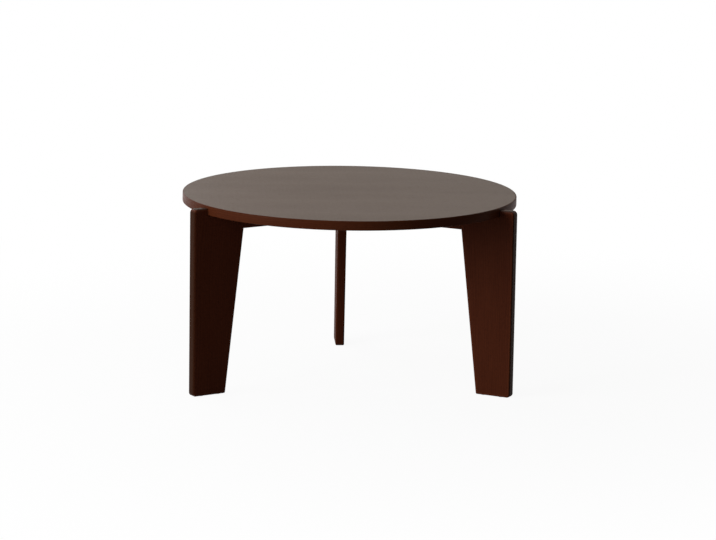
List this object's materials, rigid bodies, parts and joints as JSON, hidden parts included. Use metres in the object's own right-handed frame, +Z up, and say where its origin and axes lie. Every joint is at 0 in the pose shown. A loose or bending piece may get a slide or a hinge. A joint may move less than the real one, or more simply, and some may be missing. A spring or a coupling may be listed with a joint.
{
  "type": "folding low table",
  "caption": "Round low table: a lift-off top held between plank legs that rise outside its rim, on lapped rails that swing shut about a central hub bolt.",
  "frame": {"origin": "on the floor, under the middle of the plan outline; the hub's axis stands 13.75 mm towards -Y from it", "axes": "+Z up, +Y towards the back leg, which stands alone; the left leg is at -X and the right leg at +X, both towards -Y"},
  "size_m": [0.5999, 0.6274, 0.34],
  "materials": {
    "top_veneer": "dark brown stain under satin lacquer, fine grain along one direction",
    "edge_band_wood": "reddish dark brown stain under satin lacquer, grain along the rim",
    "leg_wood": "dark brown stain under satin lacquer, grain along the leg",
    "rail_wood": "dark brown stain under satin lacquer, grain along the rail",
    "dowel_wood": "plain beech, fluted, glued in",
    "felt": "dense brown felt",
    "glide_nylon": "brown moulded nylon",
    "nail_steel": "bright zinc",
    "hub_steel": "yellow zinc, lightly worn",
    "washer_nylon": "natural nylon",
    "plate_paint": "fine black powder coat",
    "screw_steel": "blackened"
  },
  "bodies": {
    "back_frame": {"back_leg": "leg_wood", "back_rail": "rail_wood", "back_rail_dowels": "dowel_wood", "back_top_pads": "felt", "back_foot_glides": "glide_nylon", "back_glide_nails": "nail_steel", "hub_bolt": "hub_steel", "hub_sleeve_nut": "hub_steel", "hub_washers": "washer_nylon", "stop_plate": "plate_paint", "stop_pins": "hub_steel", "plate_screws": "screw_steel"},
    "left_frame": {"left_leg": "leg_wood", "left_rail": "rail_wood", "left_rail_dowels": "dowel_wood", "left_top_pads": "felt", "left_foot_glides": "glide_nylon", "left_glide_nails": "nail_steel"},
    "right_frame": {"right_leg": "leg_wood", "right_rail": "rail_wood", "right_rail_dowels": "dowel_wood", "right_top_pads": "felt", "right_foot_glides": "glide_nylon", "right_glide_nails": "nail_steel"},
    "table_top": {"top_board": "top_veneer", "top_edge_band": "edge_band_wood"}
  },
  "joints": [
    {"name": "left_swing", "type": "hinge", "parent": "back_frame", "child": "left_frame", "pos_m": [0, -0.01375, 0.3], "axis": [0, 0, -1], "range_deg": [0, 102]},
    {"name": "right_swing", "type": "hinge", "parent": "back_frame", "child": "right_frame", "pos_m": [0, -0.01375, 0.3], "axis": [0, 0, 1], "range_deg": [0, 102]},
    {"name": "top_lift", "type": "slide", "parent": "back_frame", "child": "table_top", "axis": [0, 0, 1], "range_m": [0, 0.06]}
  ]
}
